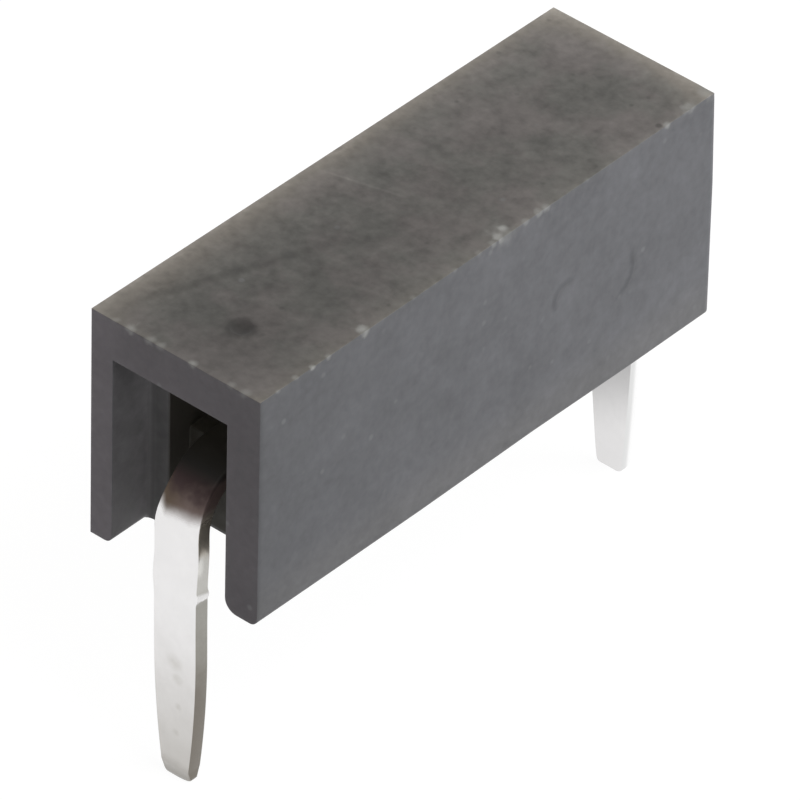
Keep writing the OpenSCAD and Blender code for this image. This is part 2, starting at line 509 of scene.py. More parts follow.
def make_housing():
    """The moulded block with its notches, passage, mould marks and chipped edges."""
    stations = np.linspace(front_y, rear_y, housing_stations)
    rings = [[(x, y, z) for x, z in housing_section(y)] for y in stations]
    housing = solid("moulded_housing", rings)
    mouth = body_length / 2 + cut_over
    cuts = [block("cavity", (-cavity_half, -mouth, floor_top), (cavity_half, mouth, ceiling))]
    cuts += end_cuts(-1) + end_cuts(1)
    combine(housing, "DIFFERENCE", cuts)
    round_edges(housing, edge_round, 3)
    settle(housing, cuts)
    arcs = ejector_arcs()
    gate = gate_cut()
    combine(housing, "UNION", arcs)
    combine(housing, "DIFFERENCE", [gate])
    settle(housing, arcs + [gate])
    slice_faces(housing.data, slice_places())
    refine_chips(housing.data)
    wear_edges(housing.data)
    return housing


# Contact

def shoulder(z, middle, half, step):
    """How far a leg's edge stands out at a height."""
    near = min(abs(z - middle) / half, 1)
    return step * math.cos(near * math.pi / 2) ** 2


def edge_places(z, leg):
    """Left and right edge of a leg at a height: shaft, shoulders, arched point and cut corners."""
    below = max(point_top - z, 0) / (point_top + leg.reach)
    half = leg_width / 2 - (leg_width - leg.point_width) / 2 * below ** leg.arch
    half = max(half, leg.tip_width / 2)
    cut = stand_back(tip_corner, z + leg.reach) / tip_corner
    left = -half - shoulder(z, *left_shoulder) - shoulder(z, *left_waist) + cut * leg.left_cut
    right = half + shoulder(z, *right_shoulder) + shoulder(z, *right_swell) - cut * leg.right_cut
    return left, right


def half_thickness(z, leg):
    """Half the thickness of a leg at a height, with a bevelled tip."""
    above_tip = min((z + leg.reach) / tip_bevel, 1)
    return (leg.tip_thickness + (stock - leg.tip_thickness) * above_tip) / 2


def rounded_section(left, right, half_t, roll):
    """Ring of a rounded rectangle, in width and thickness, with its outer right edge rolled."""
    corners = (
        (right - roll, half_t - roll, 0, roll),
        (left + sheet_round, half_t - sheet_round, 90, sheet_round),
        (left + sheet_round, sheet_round - half_t, 180, sheet_round),
        (right - sheet_round, sheet_round - half_t, 270, sheet_round),
    )
    ring = []
    for x, t, start, radius in corners:
        ring += arc((x, t), radius, start, start + 90, section_steps)
    return ring


def leg_path(leg):
    """Stations from a front leg's tip to the strip.

    Each holds the place, the outward direction, the edges and half the thickness.
    """
    middle = front_y + stock / 2
    stations = []
    corner_turns = np.radians(np.linspace(0, last_corner_turn, corner_stations))
    heights = [tip_corner * (1 - math.cos(turn)) - leg.reach for turn in corner_turns]
    heights += list(np.linspace(tip_corner - leg.reach, bend_bottom, leg_stations, endpoint=False))
    for z in heights:
        edges = edge_places(z, leg)
        half_t = half_thickness(z, leg)
        stations.append((middle, z, -1.0, 0.0, edges, half_t))
    centre_y = front_y + leg_bend
    radius = leg_bend - stock / 2
    for angle in np.radians(np.linspace(180, 90, bend_stations)):
        out_y = math.cos(angle)
        out_z = math.sin(angle)
        y = centre_y + radius * out_y
        z = bend_bottom + radius * out_z
        edges = edge_places(z, leg)
        stations.append((y, z, out_y, out_z, edges, stock / 2))
    return stations


def make_strip():
    """The strip with a leg bent down at each end, as one sheet."""
    front = leg_path(front_leg)
    rear = reversed(leg_path(rear_leg))
    rear = [(-y, z, -out_y, out_z, edges, t) for y, z, out_y, out_z, edges, t in rear]
    rings = []
    for y, z, out_y, out_z, (left, right), half_t in front + rear:
        if y < 0:
            lean = np.interp(z, lean_heights, front_leans)
            roll = np.interp(z, front_roll_heights, (sheet_round, front_roll))
        else:
            lean = np.interp(z, lean_heights, rear_leans)
            roll = rear_roll
        ring = rounded_section(left, right, half_t, roll)
        rings.append([(x + lean, y + out_y * t, z + out_z * t) for x, t in ring])
    return solid("tinned_contact", rings)


def wall_section(side):
    """Section of a side wall and the fold that joins it to the strip."""
    centre = (leg_width / 2, fold_top)
    outer = arc(centre, fold_radius, -90, 0, fold_steps)
    inner = arc(centre, fold_radius - stock, 0, -90, fold_steps)
    overlap = leg_width / 2 - stock
    foot = [(overlap, strip_height - foot_sunk), (overlap, floor_top + foot_sunk)]
    outline = outer + [(wall_outer, wall_top), (wall_inner, wall_top)] + inner + foot
    return [(side * x, z) for x, z in outline]


def spring_outline(side):
    """Plan of a spring: long arm, pinch bend and flared lead-in."""
    centre = (pinch_x, pinch_y)
    arm = 180 - math.degrees(spring_angle)
    flare = 180 + flare_angle
    outer = pinch_radius + stock

    def along(angle, radius, run):
        """A place on a tangent, from the point at an angle on the bend."""
        turn = math.radians(angle)
        x = centre[0] + radius * math.cos(turn) + run * math.sin(turn)
        y = centre[1] + radius * math.sin(turn) - run * math.cos(turn)
        return (x, y)

    length = tangent_length + stock / 2
    bend_outer = arc(centre, outer, arm, flare, pinch_steps)
    bend_inner = arc(centre, pinch_radius, flare, arm, pinch_steps)
    lead_in = [along(flare, outer, -flare_length), along(flare, pinch_radius, -flare_length)]
    root = [along(arm, pinch_radius, length), along(arm, outer, length)]
    outline = bend_outer + lead_in + bend_inner + root
    return [(side * x, y) for x, y in outline]


def barb_outline(side):
    """Plan of the barb on a side wall."""
    start = box_y + (box_length - barb_length) / 2
    end = start + barb_length
    reach = wall_outer + contact_clearance - barb_gap
    root = wall_outer - stock / 2
    outline = ((root, start), (wall_outer, start), (reach, end), (root, end))
    return [(side * x, y) for x, y in outline]


def make_contact():
    """The strip with its legs, joined to the side walls, barbs and springs."""
    contact = make_strip()
    barb_low = pin_height - barb_height / 2
    barb_top = pin_height + barb_height / 2
    spring_low = pin_height - spring_height / 2
    folded = []
    for side in (-1, 1):
        wall = lengthwise("side_wall", wall_section(side), box_y, box_y + box_length)
        barb = upright("barb", barb_outline(side), barb_low, barb_top)
        spring = upright("spring", spring_outline(side), spring_low, spring_low + spring_height)
        round_edges(wall, fold_round, 2)
        round_edges(spring, fold_round, 2)
        folded += [wall, barb, spring]
    combine(contact, "UNION", folded)
    settle(contact, folded)
    return contact


# Material helpers

def fill(tree, socket, value):
    """Links a socket to an input, or sets the input to a value."""
    if isinstance(value, bpy.types.NodeSocket):
        tree.links.new(value, socket)
    else:
        socket.default_value = value


def node(tree, kind, inputs=None, **settings):
    """Adds a shader node, and links or sets its inputs."""
    made = tree.nodes.new(kind)
    for name, value in settings.items():
        setattr(made, name, value)
    for name, value in (inputs or {}).items():
        fill(tree, made.inputs[name], value)
    return made


def calc(tree, operation, *values):
    """One step of arithmetic."""
    made = node(tree, "ShaderNodeMath", operation=operation)
    for socket, value in zip(made.inputs, values):
        fill(tree, socket, value)
    return made.outputs[0]


def fade(tree, value, start, end, low=0.0, high=1.0):
    """Turns a value smoothly from low at the start to high at the end."""
    inputs = {"Value": value, "From Min": start, "From Max": end, "To Min": low, "To Max": high}
    made = node(tree, "ShaderNodeMapRange", inputs, interpolation_type="SMOOTHSTEP")
    return made.outputs["Result"]


def clouds(tree, space, scale, detail, rough):
    """Noise with features of about one over the scale, in millimetres."""
    inputs = {"Vector": space, "Scale": scale, "Detail": detail, "Roughness": rough}
    return node(tree, "ShaderNodeTexNoise", inputs).outputs["Fac"]


def ripples(tree, space, scale, detail, rough):
    """The same noise, swinging about zero."""
    return calc(tree, "SUBTRACT", clouds(tree, space, scale, detail, rough), 0.5)


def product(tree, first, *others):
    """Several values multiplied together."""
    for other in others:
        first = calc(tree, "MULTIPLY", first, other)
    return first


def distance(tree, first, second):
    """Distance from a place, by its two parts."""
    squares = calc(tree, "MULTIPLY_ADD", first, first, calc(tree, "MULTIPLY", second, second))
    return calc(tree, "SQRT", squares)


def dots(tree, space, scale, radius, share):
    """Scattered round dots: a share of the cells of a pattern holds one."""
    cells = node(tree, "ShaderNodeTexVoronoi", {"Vector": space, "Scale": scale})
    shape = fade(tree, cells.outputs["Distance"], radius, radius * 0.3)
    pick = node(tree, "ShaderNodeSeparateColor", {"Color": cells.outputs["Color"]})
    chosen = calc(tree, "LESS_THAN", pick.outputs["Red"], share)
    return product(tree, chosen, pick.outputs["Green"], shape)


def blend(tree, factor, first, second):
    """Mixes two colours by a factor."""
    made = node(tree, "ShaderNodeMix", data_type="RGBA")
    fill(tree, made.inputs["Factor"], factor)
    fill(tree, made.inputs[6], first)
    fill(tree, made.inputs[7], second)
    return made.outputs[2]


def scaled(tree, colour, value):
    """A colour made paler or darker by a value that changes over the surface."""
    made = node(tree, "ShaderNodeVectorMath", {"Scale": value}, operation="SCALE")
    fill(tree, made.inputs[0], colour)
    return made.outputs[0]


def ramp(tree, value, stops):
    """Colours along a value."""
    made = node(tree, "ShaderNodeValToRGB", {"Fac": value})
    elements = made.color_ramp.elements
    while len(elements) < len(stops):
        elements.new(0.5)
    for element, (place, colour) in zip(elements, stops):
        element.position = place
        element.color = (*colour, 1)
    return made.outputs["Color"]


def new_material(name):
    """An empty node material and its tree."""
    material = bpy.data.materials.new(name)
    material.use_nodes = True
    material.node_tree.nodes.clear()
    return material, material.node_tree


def object_space(tree):
    """Place in millimetres, its three parts, and the three parts of the normal."""
    source = node(tree, "ShaderNodeTexCoord")
    enlarged = node(tree, "ShaderNodeVectorMath", {"Scale": 1 / MM}, operation="SCALE")
    tree.links.new(source.outputs["Object"], enlarged.inputs[0])
    place = enlarged.outputs[0]
    parts = node(tree, "ShaderNodeSeparateXYZ", {"Vector": place}).outputs
    facing = node(tree, "ShaderNodeSeparateXYZ", {"Vector": source.outputs["Normal"]}).outputs
    return place, parts, facing


# Materials

# Span of a normal's part over which the colour of one face gives way to the next
facing_span = (0.5, 0.9)

# Colours of the plastic; the top, sides and ends each carry a painted tint of the light that falls on
# them
top_grey = (0.1110, 0.1085, 0.1015, 1)
top_warm = (0.1175, 0.1085, 0.1040, 1)
rim_tan = (0.1190, 0.1095, 0.0975, 1)
side_grey = (0.1105, 0.1115, 0.1195, 1)
# Painted light bounced up off the floor onto the foot of the sides
foot_bounce_grey = (0.122, 0.121, 0.125, 1)
end_grey = (0.109, 0.0995, 0.1085)
notch_side_grey = (0.109, 0.106, 0.110)
notch_back_grey = (0.109, 0.107, 0.109)
# Painted shade in the notches' inner corners
notch_corner_shade = (0.05, 0.049, 0.05, 1)
pit_dark = (0.05, 0.05, 0.048, 1)
speck_pale = (0.22, 0.225, 0.23, 1)
# Painted shade at the passage's mouth and end face, and painted light deeper in and on its floor
passage_mouth_shade = (0.06, 0.055, 0.046, 1)
passage_deep_light = (0.22, 0.20, 0.165, 1)
passage_end_shade = (0.032, 0.0285, 0.0215, 1)
passage_floor_light = (0.15, 0.137, 0.111, 1)
worn_pale = (0.21, 0.21, 0.20, 1)
fresh_pale = (0.37, 0.37, 0.355, 1)

# Colours of the metal
tin_white = (0.81, 0.80, 0.80)
tin_darker = (0.42, 0.40, 0.37, 1)
stain_brown = (0.36, 0.34, 0.29, 1)
tip_dark = (0.20, 0.185, 0.16, 1)
burnished_low = (0.53, 0.52, 0.49, 1)
burnished_high = (0.55, 0.50, 0.42, 1)
# Painted glint on the sheared side
glint_pale = (0.74, 0.73, 0.70, 1)
torn_high = (0.33, 0.32, 0.29, 1)
torn_low = (0.175, 0.155, 0.13, 1)
edge_white = (1.0, 1.0, 1.0)
# Painted highlight on the rear leg's edges
edge_highlight = (0.98, 0.98, 0.98, 1)
# Browns of the bends: partly tarnish and partly painted reflection, the upper one painted shade
brown_left = (0.11, 0.08, 0.057, 1)
brown_right = (0.155, 0.116, 0.104, 1)
brown_upper_shade = (0.058, 0.037, 0.037, 1)
brown_side = (0.15, 0.106, 0.098, 1)
# Colours of the strip from the mouth of the passage inward: painted shade at the mouth, painted light
# deeper in
passage_shading_stops = (
    (0.0, (0.022, 0.020, 0.017)),
    (0.4, (0.115, 0.105, 0.085)),
    (1.0, (0.45, 0.41, 0.33)),
)
# Smudges on the front leg: place across and upward, and reach
leg_smudges = (
    ((0.04, -1.19), 0.16),
    ((0.085, -1.41), 0.11),
    ((0.10, -1.80), 0.07),
    ((0.07, -2.19), 0.07),
)


def streak(tree, parts, start, end, width):
    """A soft line on the top, between two places given across and from the front end."""
    length = math.dist(start, end)
    run = ((end[0] - start[0]) / length, (end[1] - start[1]) / length)
    across = calc(tree, "SUBTRACT", parts["X"], start[0])
    ahead = calc(tree, "SUBTRACT", parts["Y"], front_y + start[1])
    along = calc(tree, "MULTIPLY_ADD", across, run[0], calc(tree, "MULTIPLY", ahead, run[1]))
    aside = calc(tree, "MULTIPLY_ADD", across, run[1], calc(tree, "MULTIPLY", ahead, -run[0]))
    line = fade(tree, calc(tree, "ABSOLUTE", aside), width, 0.0)
    taper = length * 0.2
    return product(
        tree,
        line,
        fade(tree, along, 0.0, taper),
        fade(tree, along, length, length - taper),
    )


def top_distance(tree, from_front, parts, start, side):
    """Distance on the top from a place."""
    ahead = calc(tree, "SUBTRACT", from_front, start)
    across = calc(tree, "SUBTRACT", parts["X"], side)
    return distance(tree, ahead, across)


def side_distance(tree, from_front, parts, start, height):
    """Distance on the right side from a place, with its two parts."""
    ahead = calc(tree, "SUBTRACT", from_front, start)
    upward = calc(tree, "SUBTRACT", parts["Z"], height)
    return distance(tree, ahead, upward), ahead, upward


def ring_shade(tree, from_front, parts):
    """Painted shade on the soft arcs of the ejector ring on the right side."""
    marks = 0.0
    for start, height, radius, middle, sweep in ring_arcs:
        from_middle, ahead, upward = side_distance(tree, from_front, parts, start, height)
        away = calc(tree, "ABSOLUTE", calc(tree, "SUBTRACT", from_middle, radius))
        line = fade(tree, away, ring_line * 1.1, 0.0)
        turn = math.radians(middle)
        half = math.radians(sweep / 2)
        rise = calc(tree, "MULTIPLY", upward, math.sin(turn))
        towards = calc(tree, "MULTIPLY_ADD", ahead, math.cos(turn), rise)
        arc_start = radius * math.cos(half * 1.15)
        arc_full = radius * math.cos(half * 0.75)
        line = calc(tree, "MULTIPLY", line, fade(tree, towards, arc_start, arc_full))
        marks = calc(tree, "MAXIMUM", marks, line)
    return calc(tree, "MULTIPLY", marks, fade(tree, parts["X"], 1.0, 1.1))


def plastic():
    """Mottled dark plastic with a smudged top, worn edges, painted light and shade, and a dark passage.
    """
    material, tree = new_material("moulded_plastic")
    space, parts, facing = object_space(tree)
    top = fade(tree, facing["Z"], *facing_span)
    end = fade(tree, calc(tree, "ABSOLUTE", facing["Y"]), *facing_span)
    middle_half = front_half + front_y * draft_slope
    half_width = calc(tree, "MULTIPLY_ADD", parts["Y"], -draft_slope, middle_half)
    sideways = calc(tree, "ABSOLUTE", parts["X"])
    from_left = calc(tree, "ADD", half_width, parts["X"])
    from_right = calc(tree, "SUBTRACT", half_width, parts["X"])
    from_front = calc(tree, "SUBTRACT", parts["Y"], front_y)
    from_rear = calc(tree, "SUBTRACT", rear_y, parts["Y"])
    from_end = calc(tree, "MINIMUM", from_front, from_rear)
    from_top = calc(tree, "SUBTRACT", body_height, parts["Z"])

    # Mottling, stronger on the top than on the sides, and painted light that grows slowly towards the
    # rear
    broad = ripples(tree, space, 0.9, 3.0, 0.5)
    mottle = ripples(tree, space, 3.4, 3.0, 0.62)
    grain = ripples(tree, space, 9.0, 2.0, 0.55)
    patches = calc(tree, "MULTIPLY_ADD", mottle, 1.3, calc(tree, "MULTIPLY", broad, 0.7))
    patches = calc(tree, "MULTIPLY_ADD", grain, 0.7, patches)
    painted_rear_light = fade(tree, from_front, 0.0, body_length, 0.915, 1.25)

    # Pale rim of the top, widest on the left
    wobble = calc(tree, "MULTIPLY_ADD", mottle, 0.35, calc(tree, "MULTIPLY", broad, 0.3))
    rim = 0.0
    for from_edge, strength, reach in (
        (from_left, 0.8, 0.42),
        (from_left, 0.8, 0.07),
        (from_right, 0.4, 0.35),
        (from_rear, 1.9, 0.2),
        (from_front, 0.25, 0.12),
    ):
        ragged = calc(tree, "MAXIMUM", calc(tree, "ADD", from_edge, wobble), 0.0)
        falling = calc(tree, "EXPONENT", calc(tree, "MULTIPLY", ragged, -1 / reach))
        rim = calc(tree, "MULTIPLY_ADD", falling, strength, rim)
    rim = calc(tree, "MULTIPLY", rim, fade(tree, from_front, 0.0, body_length, 1.5, 0.7))

    # Stains round the gate and along a rubbed line, a dark nick and one pale scratch
    from_gate = top_distance(tree, from_front, parts, gate_start, gate_side)
    from_nick = top_distance(tree, from_front, parts, *nick_place)
    blot_edge = calc(tree, "MULTIPLY_ADD", wobble, 0.2, from_gate)
    smear_edge = calc(tree, "ADD", from_gate, wobble)
    rubbed = streak(tree, parts, (-1.12, 0.1), (0.03, 3.05), 0.12)
    scratch = streak(tree, parts, (-1.11, 3.66), (0.01, 3.95), 0.035)
    shade = product(
        tree,
        calc(tree, "MULTIPLY_ADD", patches, 0.8, 1.0),
        calc(tree, "ADD", rim, 1.0),
        fade(tree, blot_edge, 0.26, 0.08, 1.0, 0.5),
        fade(tree, smear_edge, 0.65, 0.1, 1.0, 0.86),
        fade(tree, from_nick, 0.02, 0.06, 0.55, 1.0),
        calc(tree, "MULTIPLY_ADD", rubbed, -0.22, 1.0),
        calc(tree, "MULTIPLY_ADD", scratch, 0.2, 1.0),
        painted_rear_light,
    )
    warm = fade(tree, clouds(tree, space, 0.9, 4.0, 0.65), 0.4, 0.6)
    top_hue = blend(tree, warm, top_grey, top_warm)
    top_hue = blend(tree, fade(tree, rim, 0.1, 0.9), top_hue, rim_tan)
    top_colour = scaled(tree, top_hue, shade)

    # Sides, a little paler and warmer along the foot in painted light bounced up off the floor,
    # with painted shade along the ejector's ring on the right one.
    # They darken at the front edge and pale at the rear edge.
    mottle_and_rear_light = calc(tree, "MULTIPLY_ADD", patches, 0.5, 1.0)
    # Painted light that grows towards the rear, on the sides, ends and notches
    mottle_and_rear_light = calc(tree, "MULTIPLY", mottle_and_rear_light, fade(tree, from_front, -4.0, body_length, 0.85, 1.26))
    foot = fade(tree, parts["Z"], 0.8, 0.15)
    side_hue = blend(tree, foot, side_grey, foot_bounce_grey)
    from_ring_highlight = side_distance(tree, from_front, parts, *ring_highlight_place)[0]
    side_tone = product(
        tree,
        mottle_and_rear_light,
        calc(tree, "MULTIPLY_ADD", ring_shade(tree, from_front, parts), -0.2, 1.0),
        # Painted highlight beside the ring
        fade(tree, from_ring_highlight, 0.16, 0.05, 1.0, 1.1),
        fade(tree, from_front, 0.0, 0.1, 0.82, 1.0),
        fade(tree, from_rear, 0.06, 0.0, 1.0, 1.35),
    )
    side_colour = scaled(tree, side_hue, side_tone)

    # The ends darken to the right, painted light on the left giving way to painted shade on the right
    end_light_and_shade = product(
        tree,
        mottle_and_rear_light,
        fade(tree, parts["X"], -1.2, -0.4, 1.26, 0.97),
        fade(tree, parts["X"], -0.4, 1.0, 1.0, 0.92),
    )
    end_colour = scaled(tree, end_grey, end_light_and_shade)

    # The notches' walls are a little paler in painted light, more towards the top and the back,
    # and their corners darker in painted shade
    sunk = product(tree, fade(tree, from_end, 0.0, 0.03), fade(tree, sideways, 1.05, 1.0))
    notch_painted_light = product(
        tree,
        mottle_and_rear_light,
        fade(tree, parts["Z"], 0.5, 2.6, 1.28, 1.65),
        fade(tree, from_end, 0.0, notch_depth, 0.76, 1.45),
    )
    notch_side = scaled(tree, notch_side_grey, notch_painted_light)
    notch_back = scaled(tree, notch_back_grey, calc(tree, "MULTIPLY", mottle_and_rear_light, 1.08))
    side_colour = blend(tree, sunk, side_colour, notch_side)
    end_colour = blend(tree, sunk, end_colour, notch_back)
    colour = blend(tree, end, side_colour, end_colour)
    skew = calc(tree, "ABSOLUTE", calc(tree, "MULTIPLY", facing["X"], facing["Y"]))
    corner_shade = calc(tree, "MULTIPLY", sunk, fade(tree, skew, 0.1, 0.4, 0.0, 0.4))
    colour = blend(tree, corner_shade, colour, notch_corner_shade)
    colour = blend(tree, top, colour, top_colour)

    # Dark pits, pale specks, and the passage in painted shade, darkest at its mouth, with painted light
    # deeper in
    pits = dots(tree, space, 4.5, 0.2, 0.3)
    colour = blend(tree, calc(tree, "MULTIPLY", pits, 0.4), colour, pit_dark)
    specks = dots(tree, space, 2.6, 0.14, 0.4)
    colour = blend(tree, calc(tree, "MULTIPLY", specks, 0.45), colour, speck_pale)
    inside = product(
        tree,
        fade(tree, sideways, cavity_half + 0.03, cavity_half + 0.01),
        fade(tree, from_end, notch_depth - 0.02, notch_depth + 0.02),
        fade(tree, from_top, top_wall - 0.05, top_wall - 0.02),
        fade(tree, parts["Z"], 0.02, 0.06),
    )
    inward = fade(tree, from_end, notch_depth + 0.1, 2.2)
    passage_shading = blend(tree, inward, passage_mouth_shade, passage_deep_light)
    passage_shading = blend(tree, end, passage_shading, passage_end_shade)
    passage_shading = blend(tree, top, passage_shading, passage_floor_light)
    colour = blend(tree, inside, colour, passage_shading)

    # Pale worn speckles along the top edges, and fresh plastic in the chips
    from_side = calc(tree, "MINIMUM", from_left, from_right)
    nearest = calc(tree, "MINIMUM", from_side, from_end)
    next_nearest = calc(tree, "MINIMUM", calc(tree, "MAXIMUM", from_side, from_end), from_top)
    from_corner = calc(tree, "MAXIMUM", nearest, next_nearest)
    fine = clouds(tree, space, 15.0, 2.0, 0.7)
    worn_edge = calc(tree, "MULTIPLY_ADD", fine, 0.3, from_corner)
    worn = product(
        tree,
        fade(tree, worn_edge, 0.26, 0.13),
        fade(tree, from_top, 0.4, 0.1),
        0.06,
    )
    colour = blend(tree, worn, colour, worn_pale)
    chip = node(tree, "ShaderNodeAttribute", attribute_name="chip").outputs["Fac"]
    fresh = calc(tree, "MULTIPLY", chip, fade(tree, fine, 0.3, 0.6, 0.85, 1.0))
    colour = blend(tree, fresh, colour, fresh_pale)

    relief = calc(tree, "MULTIPLY_ADD", mottle, 1.5, grain)
    strength = fade(tree, facing["Z"], *facing_span, 0.2, 0.5)
    bump = node(tree, "ShaderNodeBump", {"Strength": strength, "Distance": 0.004 * MM, "Height": relief})
    surface = node(tree, "ShaderNodeBsdfPrincipled", {
        "Base Color": colour,
        "Roughness": fade(tree, mottle, -0.3, 0.3, 0.5, 0.7),
        "Specular IOR Level": 0.3,
        "Normal": bump.outputs["Normal"],
    })
    node(tree, "ShaderNodeOutputMaterial", {"Surface": surface.outputs["BSDF"]})
    return material


def spot(tree, parts, place, reach):
    """A soft spot on a leg's flat face, at a place given across and upward."""
    across = calc(tree, "SUBTRACT", parts["X"], place[0])
    upward = calc(tree, "SUBTRACT", parts["Z"], place[1])
    return fade(tree, distance(tree, across, upward), reach, reach * 0.2)


def tinned_metal():
    """Tin plate with smudges, sheared edges and browned bends, with painted shade and highlights."""
    material, tree = new_material("tinned_metal")
    space, parts, facing = object_space(tree)
    smudge = ripples(tree, space, 3.0, 3.0, 0.6)
    fine = ripples(tree, space, 18.0, 2.0, 0.6)
    front = fade(tree, parts["Y"], 0.5, -0.5)
    tarnish_and_shade = calc(tree, "MULTIPLY_ADD", smudge, 0.08, calc(tree, "MULTIPLY_ADD", fine, 0.05, 1.0))
    # The rear leg is painted darker, and darker still up towards the housing, in painted shade
    rear_height = calc(tree, "MULTIPLY_ADD", parts["X"], -0.6, parts["Z"])
    rear_leg_shade = fade(tree, rear_height, -2.3, -1.2, 0.93, 0.6)
    tarnish_and_shade = calc(tree, "MULTIPLY", tarnish_and_shade, fade(tree, front, 0.0, 1.0, rear_leg_shade, 1.0))
    tin = scaled(tree, tin_white, tarnish_and_shade)

    # The front leg is darker towards its tip, and has a few dark smudges and a dark rim at the tip
    dull_height = calc(tree, "MULTIPLY_ADD", smudge, 0.5, parts["Z"])
    low = product(tree, fade(tree, dull_height, -0.2, -3.2), front, 0.8)
    colour = blend(tree, low, tin, tin_darker)
    stains = 0.0
    for place, reach in leg_smudges:
        stains = calc(tree, "MAXIMUM", stains, spot(tree, parts, place, reach))
    stains = product(tree, stains, fade(tree, fine, -0.2, 0.1, 0.12, 0.25), front)
    colour = blend(tree, stains, colour, stain_brown)
    from_tip = calc(tree, "MULTIPLY_ADD", fine, 0.06, calc(tree, "ADD", parts["Z"], leg_reach))
    tip_rim = product(tree, fade(tree, from_tip, 0.36, 0.0), front, 0.75)
    colour = blend(tree, tip_rim, colour, tip_dark)

    # Its sheared edges show the alloy, burnished above the shoulder, torn and brown below it
    sheared = fade(tree, calc(tree, "ABSOLUTE", facing["X"]), 0.8, 0.97)
    cut = calc(tree, "MULTIPLY", sheared, front)
    from_face = calc(tree, "SUBTRACT", parts["Y"], front_y)
    tilted = calc(tree, "MULTIPLY_ADD", from_face, 0.22, calc(tree, "SUBTRACT", parts["Z"], 0.087))
    burnished = calc(tree, "MULTIPLY", cut, fade(tree, tilted, -0.17, -0.13))
    upper = fade(tree, parts["Z"], 0.35, 0.6)
    burnished_hue = blend(tree, upper, burnished_low, burnished_high)
    # A painted glint low on the sheared side, near the front face
    glint = product(
        tree,
        fade(tree, from_face, 0.15, 0.05),
        fade(tree, parts["Z"], 0.12, 0.3),
        fade(tree, parts["Z"], 0.55, 0.4),
    )
    burnished_hue = blend(tree, glint, burnished_hue, glint_pale)
    colour = blend(tree, burnished, colour, burnished_hue)
    torn_edge = calc(tree, "MULTIPLY_ADD", fine, 0.1, tilted)
    torn = calc(tree, "MULTIPLY", cut, fade(tree, torn_edge, -0.22, -0.26))
    torn_height = calc(tree, "MULTIPLY_ADD", smudge, 1.2, parts["Z"])
    torn_hue = blend(tree, fade(tree, torn_height, -0.3, -1.9), torn_high, torn_low)
    colour = blend(tree, torn, colour, torn_hue)

    # The rear leg's edges are clean, painted lighter towards its outer face, with a painted highlight
    # where they meet it
    clean = calc(tree, "MULTIPLY", sheared, calc(tree, "SUBTRACT", 1.0, front))
    from_back = calc(tree, "SUBTRACT", rear_y, parts["Y"])
    clean_hue = scaled(tree, edge_white, fade(tree, from_back, stock, 0.0, 0.73, 0.84))
    colour = blend(tree, clean, colour, clean_hue)
    highlight = product(tree, fade(tree, from_back, 0.15, 0.08), fade(tree, facing["X"], 0.2, 0.5))
    colour = blend(tree, highlight, colour, edge_highlight)

    # Both bends are browned, partly tarnish and partly a painted reflection of the dark housing,
    # yellowish on the left and reddish on the right, and darker towards the top in painted shade
    height = calc(tree, "MULTIPLY_ADD", parts["X"], -0.17, parts["Z"])
    height = calc(tree, "MULTIPLY_ADD", smudge, 0.12, height)
    height = calc(tree, "SUBTRACT", height, fade(tree, parts["X"], -0.14, -0.27, 0.0, 0.13))
    away = calc(tree, "ABSOLUTE", parts["Y"])
    bend_end = rear_y - leg_bend
    bent = fade(tree, away, bend_end - 0.5, bend_end)
    brown = calc(tree, "MULTIPLY", bent, fade(tree, height, 0.81, 1.03))
    brown_hue = blend(tree, fade(tree, parts["X"], -0.2, 0.15), brown_left, brown_right)
    upper_shade = fade(tree, calc(tree, "MULTIPLY_ADD", smudge, 0.5, height), 1.0, 1.3)
    brown_hue = blend(tree, upper_shade, brown_hue, brown_upper_shade)
    brown_hue = blend(tree, sheared, brown_hue, brown_side)
    colour = blend(tree, brown, colour, brown_hue)

    # Inside the passage the alloy is less metallic, in painted shade at the mouth and painted light
    # deeper in
    in_passage = product(tree, fade(tree, parts["Z"], 1.26, 1.4), fade(tree, away, rear_y, rear_y - 0.3))
    inward = calc(tree, "DIVIDE", calc(tree, "SUBTRACT", 3.5, away), 1.5)
    colour = blend(tree, in_passage, colour, ramp(tree, inward, passage_shading_stops))
    metallic = fade(tree, calc(tree, "MAXIMUM", brown, cut), 0.0, 1.0, 1.0, 0.75)
    brown_edge = calc(tree, "MULTIPLY", brown, sheared)
    metallic = calc(tree, "MULTIPLY_ADD", brown_edge, -0.6, metallic)
    metallic = calc(tree, "MULTIPLY_ADD", in_passage, -0.7, metallic)

    bump = node(tree, "ShaderNodeBump", {"Strength": 0.15, "Distance": 0.001 * MM, "Height": fine})
    surface = node(tree, "ShaderNodeBsdfPrincipled", {
        "Base Color": colour,
        "Metallic": calc(tree, "MAXIMUM", metallic, 0.0),
        "Roughness": fade(tree, brown, 0.0, 1.0, 0.24, 0.45),
        "Normal": bump.outputs["Normal"],
    })
    node(tree, "ShaderNodeOutputMaterial", {"Surface": surface.outputs["BSDF"]})
    return material


def seen_rays(tree):
    """One for camera, glossy and transmission rays, and zero for the rest."""
    path = node(tree, "ShaderNodeLightPath").outputs
    seen = calc(tree, "MAXIMUM", path["Is Camera Ray"], path["Is Glossy Ray"])
    return calc(tree, "MAXIMUM", seen, path["Is Transmission Ray"])


